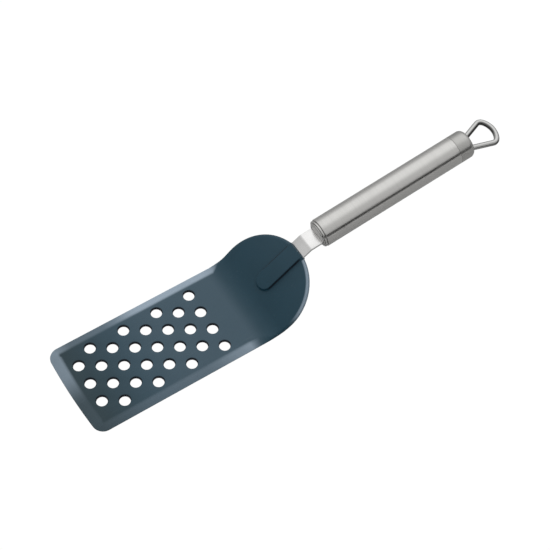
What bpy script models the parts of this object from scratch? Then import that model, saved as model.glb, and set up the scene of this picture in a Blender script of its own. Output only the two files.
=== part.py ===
"""Grill spatula: perforated nylon blade head on a round satin steel handle.

X runs from the tip of the blade to the hanging loop, Y across, Z up. The origin is on the flat
underside of the blade, in the middle of the perforated field. Metres throughout.
"""

import math

import bmesh
import bpy
from mathutils import Matrix, Vector

# Blade: a flat plate with bevelled front and long sides
BLADE_WIDTH = 0.0654
BLADE_THICKNESS = 0.0024
FRONT_REACH = 0.0556            # origin to the front edge
FRONT_BOW = 0.0008              # the front edge is this much further out in the middle
CORNER_RADIUS = 0.0075
SIDE_BEVEL = 0.0050
FRONT_BEVEL = 0.0066
LIP_THICKNESS = 0.0008          # what the bevels leave at the edge

# Perforations: staggered rows across the blade
HOLE_DIAMETER = 0.0071
HOLE_PITCH = 0.0142             # across the blade, within a row
ROW_PITCH = 0.01195             # along the blade
ROW_COUNT = 8
HOLES_IN_ROW = (3, 4)           # alternating, from the tip
HOLE_SIDES = 28

# Heel bend and inclined round disc
HEEL_REACH = 0.0731             # origin to where blade and disc planes cross
HEEL_ANGLE = math.radians(35.1)
HEEL_RADIUS = 0.020
DISC_RADIUS = 0.0335
DISC_OFFSET = 0.0113            # heel line to disc centre, up the slope
DISC_THICKNESS = 0.0030
DISC_CHAMFER = 0.0012
DISC_EDGE = 0.0022              # thickness left at the disc's rim
BEVEL_RUN_OUT = 0.0060          # length over which the side bevel fades into the disc's chamfer

# Socket on the disc for the steel tongue
SOCKET_WIDTH = 0.0130
SOCKET_LENGTH = 0.0344
SOCKET_RISE = 0.0023            # above the disc's face
SOCKET_DRAFT = 0.0004
SOCKET_EDGE = 0.0005
SOCKET_NOSE_FLAT = 0.0006        # left in the middle of its round front end
SOCKET_STEP = 0.0005            # the socket stands this far out of the disc's rear edge
TONGUE_LIFT = 0.0010            # tongue's middle above the disc's middle
PEG_DIAMETER = 0.0040

# Steel strip: tongue, inclined neck, bend, tang
STRIP_THICKNESS = 0.0020
NECK_WIDTH = 0.0129
NECK_LENGTH = 0.0069            # disc to bend
NECK_RADIUS = 0.0030
TONGUE_WIDTH = 0.0096
TONGUE_LENGTH = 0.0270
NECK_REACH = 0.0085             # bend to the front cap's nose
TANG_DEPTH = 0.0400             # behind the front cap's nose

# Handle
HANDLE_DIAMETER = 0.0190
HANDLE_WALL = 0.0008
HANDLE_ANGLE = math.radians(7.7)
TANG_DROP = 0.0012              # tang's middle below the handle's axis
TUBE_LENGTH = 0.1030
TUBE_EDGE = 0.0005
SEAM_EDGE = 0.00025

# Front cap: plug, flange and domed nose
FLANGE_WIDTH = 0.0012
FLANGE_STEP = 0.0004            # flange below the tube's surface
NOSE_STEP = 0.0017              # nose below the tube's surface
NOSE_HEIGHT = 0.0009
NOSE_ROUND = 0.0007
PLUG_LENGTH = 0.0060

# Rear cap, sleeve behind the seam and anchor plate for the loop
CAP_LENGTH = 0.0118
CAP_SHOULDER = 0.0034
CAP_CROWN = 0.0009
SLEEVE_LENGTH = 0.0080          # in front of the seam
SLEEVE_WALL = 0.0008
ANCHOR_THICKNESS = 0.0016
ANCHOR_SETBACK = 0.0012         # behind the inner end of the rear cap
CORE_LENGTH = 0.0300
CORE_WALL = 0.0024              # core left at each edge of the tang

# Hanging loop
WIRE_DIAMETER = 0.0037
LOOP_REACH = 0.0209             # rear cap's end to the far side, outside
LOOP_WIDTH = 0.0215
LEG_SPACING = 0.0086            # between leg centres, where they leave the cap
LOOP_BOW = 0.0040               # rise of the far side's arc
LOOP_CORNER = 0.0030
LOOP_DROP = 0.0022              # below the handle's axis, where the legs leave the cap
LOOP_TILT = math.radians(2.0)   # the loop points this much below the handle's axis

# Clearances between touching pieces
GAP = 0.0003
ROUND_SIDES = 64
CORNER_STEPS = 6
BEND_STEPS = 8

HALF_WIDTH = BLADE_WIDTH / 2
TUBE_RADIUS = HANDLE_DIAMETER / 2
BORE_RADIUS = TUBE_RADIUS - HANDLE_WALL
PLUG_RADIUS = BORE_RADIUS - GAP
NOSE_RADIUS = TUBE_RADIUS - NOSE_STEP
TANG_WIDTH = 2 * (PLUG_RADIUS - CORE_WALL)
BLADE_MIDDLE = BLADE_THICKNESS / 2

# Developed lengths along the head, measured as if the heel were flat
HEEL_TANGENT = HEEL_RADIUS * math.tan(HEEL_ANGLE / 2)
BEND_START = HEEL_REACH - HEEL_TANGENT
BEND_END = BEND_START + HEEL_RADIUS * HEEL_ANGLE
DISC_CENTRE = BEND_END + DISC_OFFSET - HEEL_TANGENT
DISC_REAR = DISC_OFFSET + math.sqrt(DISC_RADIUS ** 2 - (SOCKET_WIDTH / 2) ** 2)
SOCKET_REAR = DISC_REAR + SOCKET_STEP


def frame(x, z, angle):
    """A local frame whose X axis climbs at the given angle from a point on the middle plane."""
    return Matrix.Translation((x, 0, z)) @ Matrix.Rotation(-angle, 4, "Y")


DISC_FRAME = frame(HEEL_REACH, BLADE_MIDDLE, HEEL_ANGLE)
STRIP_BEND = DISC_FRAME @ Vector((SOCKET_REAR + GAP + NECK_LENGTH, 0, TONGUE_LIFT))
TANG_FRAME = frame(STRIP_BEND.x, STRIP_BEND.z, HANDLE_ANGLE)
NOSE_TIP = TANG_FRAME @ Vector((NECK_REACH, 0, TANG_DROP))
RIM = frame(NOSE_TIP.x, NOSE_TIP.z, HANDLE_ANGLE) @ Vector((NOSE_HEIGHT + FLANGE_WIDTH + GAP, 0, 0))
HANDLE_FRAME = frame(RIM.x, RIM.z, HANDLE_ANGLE)
CAP_START = TUBE_LENGTH + GAP
CAP_END = CAP_START + CAP_LENGTH
LOOP_FRAME = HANDLE_FRAME @ frame(CAP_END, -LOOP_DROP, -LOOP_TILT)


def clear_scene():
    for item in list(bpy.data.objects):
        bpy.data.objects.remove(item, do_unlink=True)


def make_material(name, colour, roughness, metallic):
    material = bpy.data.materials.new(name)
    material.use_nodes = True
    shader = material.node_tree.nodes["Principled BSDF"]
    shader.inputs["Base Color"].default_value = (*colour, 1)
    shader.inputs["Roughness"].default_value = roughness
    shader.inputs["Metallic"].default_value = metallic
    return material


def add_object(name, mesh, material, matrix=None, smooth_angle=30):
    item = bpy.data.objects.new(name, mesh)
    bpy.context.collection.objects.link(item)
    item.matrix_world = matrix if matrix is not None else Matrix.Identity(4)
    if material:
        mesh.materials.append(material)
    mesh.shade_smooth()
    mesh.set_sharp_from_angle(angle=math.radians(smooth_angle))
    return item


def finish_mesh(name, bm):
    bmesh.ops.recalc_face_normals(bm, faces=bm.faces)
    mesh = bpy.data.meshes.new(name)
    bm.to_mesh(mesh)
    bm.free()
    return mesh


def add_cutter(name, mesh, matrix=None):
    cutter = add_object(name, mesh, None, matrix)
    cutter.hide_render = True
    cutter.display_type = "WIRE"
    return cutter


def boolean(item, operation, other):
    modifier = item.modifiers.new(other.name, "BOOLEAN")
    modifier.operation = operation
    modifier.solver = "EXACT"
    modifier.object = other


def stack_loops(name, loops):
    """A closed solid through loops of equal length, one above the other."""
    bm = bmesh.new()
    rings = [[bm.verts.new(point) for point in loop] for loop in loops]
    for lower, upper in zip(rings, rings[1:]):
        for i in range(len(lower)):
            j = (i + 1) % len(lower)
            bm.faces.new((lower[i], lower[j], upper[j], upper[i]))
    bm.faces.new(reversed(rings[0]))
    bm.faces.new(rings[-1])
    return finish_mesh(name, bm)


def turned(name, profile, sides=ROUND_SIDES):
    """A solid turned about the local X axis from a closed profile of (x, radius) points."""
    bm = bmesh.new()
    rings = []
    for x, radius in profile:
        if radius == 0:
            rings.append([bm.verts.new((x, 0, 0))])
            continue
        turns = (2 * math.pi * i / sides for i in range(sides))
        rings.append([bm.verts.new((x, radius * math.cos(t), radius * math.sin(t))) for t in turns])
    closed = len(rings[0]) > 1
    pairs = zip(rings, rings[1:] + rings[:1]) if closed else zip(rings, rings[1:])
    for first, second in pairs:
        for i in range(sides):
            j = (i + 1) % sides
            if len(first) == 1:
                bm.faces.new((first[0], second[j], second[i]))
            elif len(second) == 1:
                bm.faces.new((first[i], first[j], second[0]))
            else:
                bm.faces.new((first[i], first[j], second[j], second[i]))
    return finish_mesh(name, bm)


def cylinder_z(name, radius, height, sides):
    bm = bmesh.new()
    bmesh.ops.create_cone(bm, cap_ends=True, segments=sides, radius1=radius, radius2=radius, depth=height)
    return finish_mesh(name, bm)


def box(name, low, high):
    """A plain block between two corners, used for slots."""
    x0, y0, z0 = low
    x1, y1, z1 = high
    corners = ((x0, y0), (x1, y0), (x1, y1), (x0, y1))
    return stack_loops(name, [[(x, y, z) for x, y in corners] for z in (z0, z1)])


def arc(centre, radius, start, end, steps):
    """Points on an arc, both ends included; angles in degrees."""
    points = []
    for i in range(steps + 1):
        angle = math.radians(start + (end - start) * i / steps)
        points.append((centre[0] + radius * math.cos(angle), centre[1] + radius * math.sin(angle)))
    return points


def smooth_step(value):
    value = min(max(value, 0), 1)
    return value * value * (3 - 2 * value)


def disc_share(u):
    """0 on the blade, 1 on the disc."""
    return smooth_step((u - BEND_START) / (BEND_END - BEND_START))


def half_outline():
    """One side of the developed outline from the tip round to the rear: (u, v, bevel) points."""
    front = FRONT_BOW - FRONT_REACH
    side_end = BEND_START - BEVEL_RUN_OUT / 2
    centre = (front + CORNER_RADIUS, HALF_WIDTH - CORNER_RADIUS)
    points = []
    for i in range(CORNER_STEPS):
        share = i / CORNER_STEPS
        points.append((front - FRONT_BOW * (1 - share ** 2), centre[1] * share, FRONT_BEVEL))
    corner = arc(centre, CORNER_RADIUS, 180, 90, CORNER_STEPS)
    for i, (u, v) in enumerate(corner):
        points.append((u, v, FRONT_BEVEL + (SIDE_BEVEL - FRONT_BEVEL) * i / CORNER_STEPS))
    points.append((side_end, HALF_WIDTH, SIDE_BEVEL))
    points.append((side_end + BEVEL_RUN_OUT, HALF_WIDTH, DISC_CHAMFER))
    flare_start = side_end + BEVEL_RUN_OUT
    for i in range(1, BEND_STEPS):
        share = i / BEND_STEPS
        u = flare_start + (DISC_CENTRE - flare_start) * share
        v = HALF_WIDTH + (DISC_RADIUS - HALF_WIDTH) * smooth_step(share)
        points.append((u, v, DISC_CHAMFER))
    rear_flat = math.degrees(math.asin(SOCKET_WIDTH / 2 / DISC_RADIUS))
    for u, v in arc((DISC_CENTRE, 0), DISC_RADIUS, 90, rear_flat, 4 * CORNER_STEPS):
        points.append((u, v, DISC_CHAMFER))
    return points


def bend(u, v, lift, start, end, radius):
    """Roll a developed point round a bend; a negative radius bends the plate downwards."""
    run = min(max(u - start, 0), end - start)
    angle = run / radius
    rest = max(u - end, 0)
    x = min(u, start) + (radius - lift) * math.sin(angle) + rest * math.cos(angle)
    z = radius - (radius - lift) * math.cos(angle) + rest * math.sin(angle)
    return Vector((x, v, z))


def bent_plate(mesh, start, end, place_point):
    """Cut the flat plate across at even steps through its bend, then move every point."""
    bm = bmesh.new()
    bm.from_mesh(mesh)
    for i in range(BEND_STEPS + 1):
        cut = (start + (end - start) * i / BEND_STEPS, 0, 0)
        geometry = bm.verts[:] + bm.edges[:] + bm.faces[:]
        bmesh.ops.bisect_plane(bm, geom=geometry, dist=1e-7, plane_co=cut, plane_no=(1, 0, 0))
    for vertex in bm.verts:
        vertex.co = place_point(vertex.co)
    bmesh.ops.triangulate(bm, faces=[face for face in bm.faces if len(face.verts) == 4])
    name = mesh.name
    bpy.data.meshes.remove(mesh)
    return finish_mesh(name, bm)


def head_point(point):
    """Carry a point from the developed plate to its place on the bent head."""
    u, v, w = point
    thickness = BLADE_THICKNESS + (DISC_THICKNESS - BLADE_THICKNESS) * disc_share(u)
    lift = (w - BLADE_MIDDLE) * thickness / BLADE_THICKNESS
    return bend(u, v, lift, BEND_START, BEND_END, HEEL_RADIUS) + Vector((0, 0, BLADE_MIDDLE))


def head_plate():
    half = half_outline()
    mirrored = [(u, -v, bevel) for u, v, bevel in reversed(half[1:])]
    outline = half + mirrored
    count = len(outline)
    disc_lip = DISC_EDGE * BLADE_THICKNESS / DISC_THICKNESS
    bottom, lip, top = [], [], []
    for i, (u, v, bevel) in enumerate(outline):
        before, after = outline[i - 1], outline[(i + 1) % count]
        along = Vector((after[0] - before[0], after[1] - before[1])).normalized()
        inward = Vector((along.y, -along.x))
        share = (SIDE_BEVEL - bevel) / (SIDE_BEVEL - DISC_CHAMFER)
        height = LIP_THICKNESS + (disc_lip - LIP_THICKNESS) * min(max(share, 0), 1)
        bottom.append((u, v, 0))
        lip.append((u, v, height))
        top.append((u + inward.x * bevel, v + inward.y * bevel, BLADE_THICKNESS))
    mesh = stack_loops("head_plate", [bottom, lip, top])
    return bent_plate(mesh, BEND_START, BEND_END, head_point)


def socket_outline(inset):
    """Round in front and square behind, drawn in from all but the rear end, at the disc's edge."""
    front = SOCKET_REAR - SOCKET_LENGTH + inset
    half = SOCKET_WIDTH / 2 - inset
    corner = half - SOCKET_NOSE_FLAT / 2
    points = arc((front + corner, half - corner), corner, 90, 180, CORNER_STEPS)
    points += arc((front + corner, -half + corner), corner, 180, 270, CORNER_STEPS)
    return points + [(SOCKET_REAR, -half), (SOCKET_REAR, half)]


def socket_block():
    disc_face = DISC_THICKNESS / 2
    crown = disc_face + SOCKET_RISE
    levels = (
        (GAP - disc_face, 0),
        (crown - SOCKET_EDGE, SOCKET_DRAFT),
        (crown, SOCKET_DRAFT + SOCKET_EDGE),
    )
    loops = [[(x, y, height) for x, y in socket_outline(inset)] for height, inset in levels]
    return stack_loops("socket_block", loops)


def hole_cutters():
    """Every perforation as one mesh of separate drills."""
    bm = bmesh.new()
    for row in range(ROW_COUNT):
        count = HOLES_IN_ROW[row % 2]
        x = (row - (ROW_COUNT - 1) / 2) * ROW_PITCH
        for i in range(count):
            y = (i - (count - 1) / 2) * HOLE_PITCH
            place = Matrix.Translation((x, y, BLADE_MIDDLE))
            bmesh.ops.create_cone(
                bm, cap_ends=True, segments=HOLE_SIDES, radius1=HOLE_DIAMETER / 2,
                radius2=HOLE_DIAMETER / 2, depth=3 * BLADE_THICKNESS, matrix=place)
    return finish_mesh("hole_drills", bm)


def tongue_end():
    """Local X of the tongue's tip in the disc's frame."""
    return SOCKET_REAR - TONGUE_LENGTH


def peg_place():
    x = tongue_end() + TONGUE_LENGTH / 3
    return DISC_FRAME @ Matrix.Translation((x, 0, TONGUE_LIFT))


def build_head(material):
    head = add_object("blade_head", head_plate(), material)
    block = add_cutter("socket_block", socket_block(), DISC_FRAME)
    drills = add_cutter("hole_drills", hole_cutters())
    half = TONGUE_WIDTH / 2 + GAP
    depth = STRIP_THICKNESS / 2 + GAP
    low = (tongue_end() - GAP, -half, TONGUE_LIFT - depth)
    high = (SOCKET_REAR + DISC_CHAMFER, half, TONGUE_LIFT + depth)
    slot = add_cutter("tongue_slot", box("tongue_slot", low, high), DISC_FRAME)
    peg_mesh = cylinder_z("tongue_peg", PEG_DIAMETER / 2, STRIP_THICKNESS + 4 * GAP, HOLE_SIDES)
    peg = add_cutter("tongue_peg", peg_mesh, peg_place())
    boolean(head, "UNION", block)
    boolean(head, "DIFFERENCE", drills)
    boolean(head, "DIFFERENCE", slot)
    boolean(head, "UNION", peg)


def strip_plate():
    """The strip cut flat with shoulders at the socket and at the cap's nose, then bent at the neck."""
    turn = HEEL_ANGLE - HANDLE_ANGLE
    tangent = NECK_RADIUS * math.tan(turn / 2)
    socket_shoulder = SOCKET_REAR + GAP
    start = socket_shoulder + NECK_LENGTH - tangent
    end = start + NECK_RADIUS * turn
    nose_shoulder = end - tangent + NECK_REACH - GAP
    tip = tongue_end()
    tail = nose_shoulder + TANG_DEPTH
    corner = TONGUE_WIDTH / 6
    tongue, neck, tang = TONGUE_WIDTH / 2, NECK_WIDTH / 2, TANG_WIDTH / 2
    side = [
        (tip, tongue - corner), (tip + corner, tongue), (socket_shoulder, tongue),
        (socket_shoulder, neck), (nose_shoulder, neck),
        (nose_shoulder, tang), (tail - corner, tang), (tail, tang - corner),
    ]
    outline = side + [(x, -y) for x, y in reversed(side)]
    half = STRIP_THICKNESS / 2
    mesh = stack_loops("neck_strip", [[(x, y, z) for x, y in outline] for z in (-half, half)])
    return bent_plate(mesh, start, end, lambda point: bend(*point, start, end, -NECK_RADIUS))


def build_strip(material):
    place = DISC_FRAME @ Matrix.Translation((0, 0, TONGUE_LIFT))
    strip = add_object("neck_strip", strip_plate(), material, place)
    hole = cylinder_z("peg_hole", PEG_DIAMETER / 2 + GAP, 3 * STRIP_THICKNESS, HOLE_SIDES)
    boolean(strip, "DIFFERENCE", add_cutter("peg_hole", hole, peg_place()))


def tang_slot(name, start, end):
    """A cutter that clears the tang between two stations along the handle."""
    half = TANG_WIDTH / 2 + GAP
    depth = STRIP_THICKNESS / 2 + GAP
    low = (start, -half, -TANG_DROP - depth)
    high = (end, half, -TANG_DROP + depth)
    return add_cutter(name, box(name, low, high), HANDLE_FRAME)


def build_front_cap(material):
    flange_face = -GAP - FLANGE_WIDTH
    nose_face = flange_face - NOSE_HEIGHT
    flange_radius = TUBE_RADIUS - FLANGE_STEP
    edge = FLANGE_STEP / 2
    profile = [(nose_face, 0)]
    nose = arc((nose_face + NOSE_ROUND, NOSE_RADIUS - NOSE_ROUND), NOSE_ROUND, 180, 90, CORNER_STEPS)
    profile += [(x, r) for x, r in nose]
    profile += [(flange_face, NOSE_RADIUS), (flange_face, flange_radius - edge)]
    profile += [(flange_face + edge, flange_radius), (-GAP, flange_radius), (-GAP, PLUG_RADIUS)]
    profile += [(PLUG_LENGTH, PLUG_RADIUS), (PLUG_LENGTH, 0)]
    cap = add_object("front_cap", turned("front_cap", profile), material, HANDLE_FRAME)
    boolean(cap, "DIFFERENCE", tang_slot("cap_slot", 2 * nose_face, 2 * PLUG_LENGTH))


def build_tube(material):
    outer, inner = TUBE_RADIUS, BORE_RADIUS
    profile = [(0, inner), (0, outer - TUBE_EDGE)]
    profile += arc((TUBE_EDGE, outer - TUBE_EDGE), TUBE_EDGE, 180, 90, 3)[1:]
    profile += [(TUBE_LENGTH - SEAM_EDGE, outer), (TUBE_LENGTH, outer - SEAM_EDGE), (TUBE_LENGTH, inner)]
    add_object("handle_tube", turned("handle_tube", profile), material, HANDLE_FRAME)


def build_core(material):
    start = PLUG_LENGTH + GAP
    end = start + CORE_LENGTH
    profile = [(start, 0), (start, PLUG_RADIUS), (end, PLUG_RADIUS), (end, 0)]
    core = add_object("tang_core", turned("tang_core", profile, 48), material, HANDLE_FRAME)
    boolean(core, "DIFFERENCE", tang_slot("core_slot", 0, 2 * CORE_LENGTH))


def build_sleeve(material):
    inner = PLUG_RADIUS - SLEEVE_WALL
    start = CAP_START - SLEEVE_LENGTH
    end = CAP_END - anchor_depth() - ANCHOR_THICKNESS - GAP
    profile = [(start, inner), (start, PLUG_RADIUS), (end, PLUG_RADIUS), (end, inner)]
    add_object("joint_sleeve", turned("joint_sleeve", profile, 48), material, HANDLE_FRAME)


def dome(end, radius, shoulder, crown, steps):
    """Rear end of a cap: a round shoulder that runs into a slightly crowned end."""
    face = radius - shoulder
    base = end - crown
    points = arc((base - shoulder, face), shoulder, 90, 0, steps)
    for i in range(1, steps):
        share = 1 - i / steps
        points.append((base + crown * (1 - share ** 2), face * share))
    return points + [(end, 0)]


def loop_path():
    """Centre line of the loop from one end round to the other; X starts at the rear cap's end."""
    wire = WIRE_DIAMETER / 2
    far = LOOP_REACH - wire
    knee = Vector((far - LOOP_BOW, LOOP_WIDTH / 2 - wire + LOOP_CORNER / 4))
    leg = Vector((knee.x, knee.y - LEG_SPACING / 2)).normalized()
    leg_run = anchor_depth() + ANCHOR_THICKNESS + 2 * GAP
    leg_end = Vector((0, LEG_SPACING / 2)) - leg * leg_run / leg.x
    bow_radius = (knee.y ** 2 + LOOP_BOW ** 2) / (2 * LOOP_BOW)
    knee_angle = math.degrees(math.asin(knee.y / bow_radius))
    far_side = arc((far - bow_radius, 0), bow_radius, knee_angle, 0, 2 * CORNER_STEPS)
    near_side = [tuple(leg_end.lerp(knee, i / 4)) for i in range(5)]
    half = round_corner(near_side, far_side)
    return half + [(x, -y) for x, y in reversed(half[:-1])]


def round_corner(first, second):
    """Join two runs that meet at a knee with a smooth corner of the loop's corner radius."""
    knee = Vector(second[0])
    enter = (Vector(first[-2]) - knee).normalized()
    leave = (Vector(second[1]) - knee).normalized()
    opening = enter.angle(leave)
    reach = LOOP_CORNER / math.tan(opening / 2)
    bisector = (enter + leave).normalized()
    centre = knee + bisector * LOOP_CORNER / math.sin(opening / 2)
    start = knee + enter * reach - centre
    end = knee + leave * reach - centre
    turn = start.angle_signed(end)
    kept = [tuple(p) for p in first if (Vector(p) - knee).length > reach * 1.05]
    for i in range(CORNER_STEPS + 1):
        angle = -turn * i / CORNER_STEPS
        spin = Matrix.Rotation(angle, 2)
        kept.append(tuple(centre + spin @ start))
    return kept + [p for p in second if (Vector(p) - knee).length > reach * 1.05]


def anchor_depth():
    """From the cap's outer end to the anchor plate's near face."""
    return HANDLE_WALL + CAP_CROWN + ANCHOR_SETBACK


def build_loop(material):
    curve = bpy.data.curves.new("hang_loop", "CURVE")
    curve.dimensions = "3D"
    curve.bevel_depth = WIRE_DIAMETER / 2
    curve.bevel_resolution = 3
    curve.use_fill_caps = True
    path = loop_path()
    spline = curve.splines.new("POLY")
    spline.points.add(len(path) - 1)
    for point, (x, y) in zip(spline.points, path):
        point.co = (x, y, 0, 1)
    loop = bpy.data.objects.new("hang_loop", curve)
    bpy.context.collection.objects.link(loop)
    loop.matrix_world = LOOP_FRAME
    curve.materials.append(material)
    return path


def leg_drills(name, path):
    """Clearance holes along both straight legs of the loop."""
    bm = bmesh.new()
    radius = WIRE_DIAMETER / 2 + GAP
    for side in (1, -1):
        start = Vector((path[0][0], side * path[0][1], 0))
        along = (Vector((path[1][0], side * path[1][1], 0)) - start).normalized()
        length = 2 * abs(start.x)
        turn = Vector((0, 0, 1)).rotation_difference(along).to_matrix().to_4x4()
        place = Matrix.Translation(start + along * (length / 2 - WIRE_DIAMETER)) @ turn
        bmesh.ops.create_cone(
            bm, cap_ends=True, segments=HOLE_SIDES, radius1=radius, radius2=radius,
            depth=length, matrix=place)
    return add_cutter(name, finish_mesh(name, bm), LOOP_FRAME)


def build_rear(cap_material, plate_material, path):
    wall = HANDLE_WALL
    outside = [(CAP_START, TUBE_RADIUS - SEAM_EDGE)]
    outside += [(CAP_START + SEAM_EDGE, TUBE_RADIUS)]
    outside += dome(CAP_END, TUBE_RADIUS, CAP_SHOULDER, CAP_CROWN, CORNER_STEPS)
    inside = dome(CAP_END - wall, BORE_RADIUS, CAP_SHOULDER - wall / 2, CAP_CROWN, CORNER_STEPS // 2)
    inside.insert(0, (CAP_START, BORE_RADIUS))
    mesh = turned_cup("rear_cap", outside, inside)
    cap = add_object("rear_cap", mesh, cap_material, HANDLE_FRAME)
    boolean(cap, "DIFFERENCE", leg_drills("cap_drills", path))

    near = CAP_END - anchor_depth()
    inner_shoulder = CAP_SHOULDER - wall / 2
    chord = math.sqrt(inner_shoulder ** 2 - max(inner_shoulder - ANCHOR_SETBACK, 0) ** 2)
    radius = BORE_RADIUS - inner_shoulder + chord - GAP
    far = near - ANCHOR_THICKNESS
    profile = [(far, 0), (far, radius), (near, radius), (near, 0)]
    plate = add_object("loop_anchor", turned("loop_anchor", profile, 48), plate_material, HANDLE_FRAME)
    boolean(plate, "DIFFERENCE", leg_drills("anchor_drills", path))


def turned_cup(name, outside, inside):
    """A cup turned about X: an outer skin and an inner skin that meet at the open rim."""
    bm = bmesh.new()
    skins = []
    for profile in (outside, inside):
        rings = []
        for x, radius in profile[:-1]:
            turns = (2 * math.pi * i / ROUND_SIDES for i in range(ROUND_SIDES))
            rings.append([bm.verts.new((x, radius * math.cos(t), radius * math.sin(t))) for t in turns])
        pole = bm.verts.new((profile[-1][0], 0, 0))
        skins.append((rings, pole))
    for rings, pole in skins:
        for first, second in zip(rings, rings[1:]):
            bridge(bm, first, second)
        for i in range(ROUND_SIDES):
            bm.faces.new((rings[-1][i], rings[-1][(i + 1) % ROUND_SIDES], pole))
    bridge(bm, skins[0][0][0], skins[1][0][0])
    return finish_mesh(name, bm)


def bridge(bm, first, second):
    for i in range(len(first)):
        j = (i + 1) % len(first)
        bm.faces.new((first[i], first[j], second[j], second[i]))


clear_scene()
nylon = make_material("slate_nylon", (0.045, 0.078, 0.098), 0.42, 0.0)
core_nylon = make_material("core_nylon", (0.12, 0.12, 0.12), 0.6, 0.0)
strip_steel = make_material("strip_steel", (0.72, 0.71, 0.70), 0.25, 1.0)
satin_steel = make_material("satin_steel", (0.60, 0.59, 0.57), 0.34, 1.0)
plain_steel = make_material("plain_steel", (0.50, 0.50, 0.50), 0.5, 1.0)

build_head(nylon)
build_strip(strip_steel)
build_front_cap(satin_steel)
build_tube(satin_steel)
build_core(core_nylon)
build_sleeve(plain_steel)
loop_points = build_loop(strip_steel)
build_rear(satin_steel, plain_steel, loop_points)
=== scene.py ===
"""Grill spatula: a perforated slate nylon head, a bent steel neck and a round satin steel handle."""
import math

import bmesh
import bpy
from mathutils import Matrix, Vector
from mathutils.geometry import delaunay_2d_cdt


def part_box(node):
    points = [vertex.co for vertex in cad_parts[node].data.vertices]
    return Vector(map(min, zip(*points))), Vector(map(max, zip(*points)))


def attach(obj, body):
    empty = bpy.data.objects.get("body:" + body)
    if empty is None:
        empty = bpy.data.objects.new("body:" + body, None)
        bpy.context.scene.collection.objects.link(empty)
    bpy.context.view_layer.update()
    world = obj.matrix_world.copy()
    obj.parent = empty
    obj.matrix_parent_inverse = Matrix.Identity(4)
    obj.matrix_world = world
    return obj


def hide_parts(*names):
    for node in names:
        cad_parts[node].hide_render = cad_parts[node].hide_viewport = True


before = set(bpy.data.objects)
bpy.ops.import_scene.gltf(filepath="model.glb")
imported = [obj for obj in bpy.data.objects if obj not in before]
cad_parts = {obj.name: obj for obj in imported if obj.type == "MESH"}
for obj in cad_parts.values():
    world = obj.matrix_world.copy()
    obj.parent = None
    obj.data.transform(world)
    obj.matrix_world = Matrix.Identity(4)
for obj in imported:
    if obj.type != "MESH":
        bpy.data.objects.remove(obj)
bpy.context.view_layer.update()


# ---------------------------------------------------------------- blade and disc
# One moulding of dark slate nylon: a flat perforated blade with bevelled edges, a soft heel bend
# and a round disc that climbs to the handle. It is shot in one piece from glass-filled nylon, so
# the faces are finely grained. The bevels, which scrape on pans, are paler, partly rubbed and
# partly painted highlight.
BLADE_WIDTH = 0.0654
BLADE_THICKNESS = 0.0024
BLADE_MIDDLE = BLADE_THICKNESS / 2
FRONT = -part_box("blade_head")[0].x
FRONT_BOW = 0.0008
CORNER_RADIUS = 0.0075
SIDE_BEVEL = 0.0050
FRONT_BEVEL = 0.0066
LIP_THICKNESS = 0.0008
BROKEN_EDGE = 0.00028
CREST = 0.0012

HOLE_RADIUS = 0.0071 / 2
HOLE_LIP = 0.00070
HOLE_PITCH = 0.0142
ROW_PITCH = 0.01195
ROW_COUNT = 8
HOLES_IN_ROW = (3, 4)
HOLE_SIDES = 48
HOLE_SHADED_SIDE = (0.6, 0.8)

HEEL_REACH = 0.0731
HEEL_ANGLE = math.radians(35.1)
HEEL_RADIUS = 0.020
DISC_RADIUS = 0.0335
DISC_OFFSET = 0.0113
DISC_THICKNESS = 0.0030
DISC_CHAMFER = 0.0012
DISC_EDGE = 0.0022
BEVEL_RUN_OUT = 0.0060
SOCKET_WIDTH = 0.0130

SIDE_STEPS = 14
RUN_OUT_STEPS = 8
FLARE_STEPS = 20
DISC_STEPS = 48
BEND_STEPS = 28

HEEL_TANGENT = HEEL_RADIUS * math.tan(HEEL_ANGLE / 2)
BEND_START = HEEL_REACH - HEEL_TANGENT
BEND_END = BEND_START + HEEL_RADIUS * HEEL_ANGLE
DISC_CENTRE = BEND_END + DISC_OFFSET - HEEL_TANGENT

NYLON = (0.0030, 0.0420, 0.0690, 1)
# Painted shade: the blade darkens to this at its tip.
NYLON_TIP_SHADE = (0.0110, 0.0340, 0.0440, 1)
# Rubbed edges pale towards this, and so do the painted highlight on the bevels and the painted sheen on
# the flat.
NYLON_WEAR_AND_HIGHLIGHT = (0.34, 0.43, 0.52, 1)
NYLON_SHADED = (0.0, 0.0050, 0.0130, 1)
NYLON_SCUFFED = (0.26, 0.32, 0.38, 1)
BLACK = (0, 0, 0, 1)


def arc(centre, radius, start, end, steps):
    """Points on an arc, both ends included; angles in degrees."""
    points = []
    for i in range(steps + 1):
        angle = math.radians(start + (end - start) * i / steps)
        points.append((centre[0] + radius * math.cos(angle), centre[1] + radius * math.sin(angle)))
    return points


def part_way(value, low, high):
    """How far a value has come from low to high, kept between 0 and 1."""
    return min(max((value - low) / (high - low), 0), 1)


def eased(value, low, high):
    """0 at low and 1 at high, with a soft start and a soft end."""
    share = part_way(value, low, high)
    return share * share * (3 - 2 * share)


def between(first, second, share):
    """The value that lies the given share of the way from first to second."""
    return first + (second - first) * share


def bend(u, v, lift, start, end, radius):
    """Roll a flat point round a bend; a negative radius bends the plate downwards."""
    run = min(max(u - start, 0), end - start)
    angle = run / radius
    rest = max(u - end, 0)
    x = min(u, start) + (radius - lift) * math.sin(angle) + rest * math.cos(angle)
    z = radius - (radius - lift) * math.cos(angle) + rest * math.sin(angle)
    return Vector((x, v, z))


def head_point(point):
    """A point of the flat moulding, thickened towards the disc and rolled round the heel."""
    u, v, w = point
    scale = between(1, DISC_THICKNESS / BLADE_THICKNESS, eased(u, BEND_START, BEND_END))
    lift = (w - BLADE_MIDDLE) * scale
    return bend(u, v, lift, BEND_START, BEND_END, HEEL_RADIUS) + Vector((0, 0, BLADE_MIDDLE))


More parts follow.
